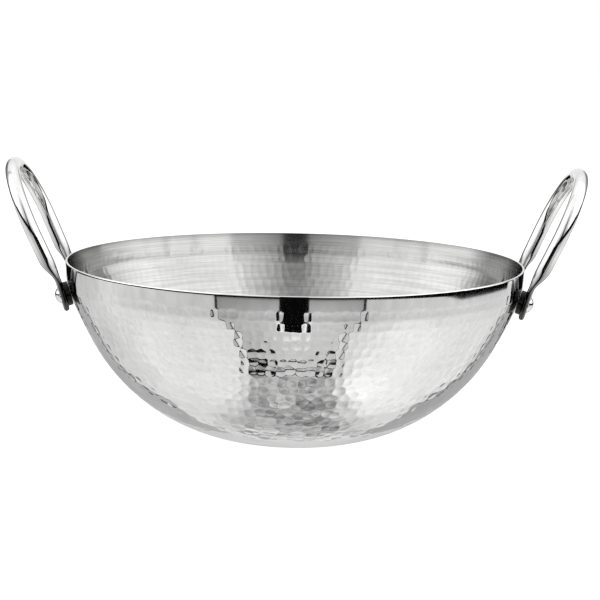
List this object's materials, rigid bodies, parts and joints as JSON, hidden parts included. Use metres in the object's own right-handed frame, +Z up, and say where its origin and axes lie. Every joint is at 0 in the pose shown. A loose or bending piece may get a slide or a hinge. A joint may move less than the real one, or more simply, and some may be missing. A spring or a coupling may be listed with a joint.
{
  "type": "kadai",
  "caption": "Round-bottomed hammered steel kadai: a deep cooking bowl with a small flat base and two upright loop handles riveted on spacers below the rim.",
  "frame": {"origin": "middle of the flat base, on the surface that the bowl stands on", "axes": "+X through the middle of the right handle, +Y towards the back as seen by someone who faces the bowl with a handle at each side, +Z up along the bowl's axis"},
  "size_m": [0.3838, 0.3048, 0.182],
  "materials": {
    "bowl_steel": "mirror-polished and hammered outside, brushed satin inside",
    "handle_steel": "polished",
    "rivet_steel": "polished",
    "spacer_steel": "satin"
  },
  "bodies": {
    "root": {"bowl": "bowl_steel", "handle_right": "handle_steel", "handle_left": "handle_steel", "rivet_right_front": "rivet_steel", "rivet_right_back": "rivet_steel", "rivet_left_front": "rivet_steel", "rivet_left_back": "rivet_steel", "spacer_right_front": "spacer_steel", "spacer_right_back": "spacer_steel", "spacer_left_front": "spacer_steel", "spacer_left_back": "spacer_steel"}
  },
  "joints": []
}
